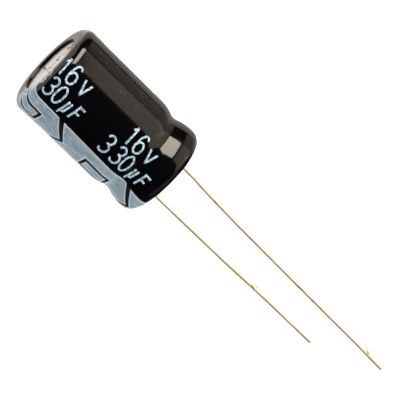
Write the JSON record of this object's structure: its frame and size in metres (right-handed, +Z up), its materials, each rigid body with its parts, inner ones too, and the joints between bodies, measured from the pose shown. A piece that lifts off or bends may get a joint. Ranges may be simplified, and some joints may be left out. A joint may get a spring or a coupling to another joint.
{
  "type": "radial aluminium electrolytic capacitor",
  "caption": "Sleeved round capacitor with a grooved can, a rubber seal and two wire leads for through-hole soldering; the wound foil element is modelled inside.",
  "frame": {"origin": "centre of the seating plane, where the foot of the sleeved case meets the board", "axes": "+Z up the case away from the leads; +X from the negative lead to the positive lead; the polarity stripe is on the -X side"},
  "size_m": [0.0082, 0.0082, 0.0377],
  "materials": {
    "can_aluminium": "drawn bright aluminium with a faint satin grain",
    "shrink_sleeve": "glossy black heat-shrunk film with pale printing",
    "seal_rubber": "moulded matt black rubber",
    "tinned_wire": "tin-plated steel wire, drawn and slightly scuffed",
    "tab_aluminium": "pressed bright aluminium",
    "etched_foil": "etched dull grey foil",
    "plain_foil": "plain satin foil",
    "separator_paper": "soft absorbent paper soaked with electrolyte",
    "winding_tape": "thin matt film tape"
  },
  "bodies": {
    "root": {"can": "can_aluminium", "sleeve": "shrink_sleeve", "seal": "seal_rubber", "positive_lead": "tinned_wire", "negative_lead": "tinned_wire", "positive_tab": "tab_aluminium", "negative_tab": "tab_aluminium", "anode_foil": "etched_foil", "inner_separator": "separator_paper", "cathode_foil": "plain_foil", "outer_separator": "separator_paper", "closing_tape": "winding_tape"}
  },
  "joints": []
}
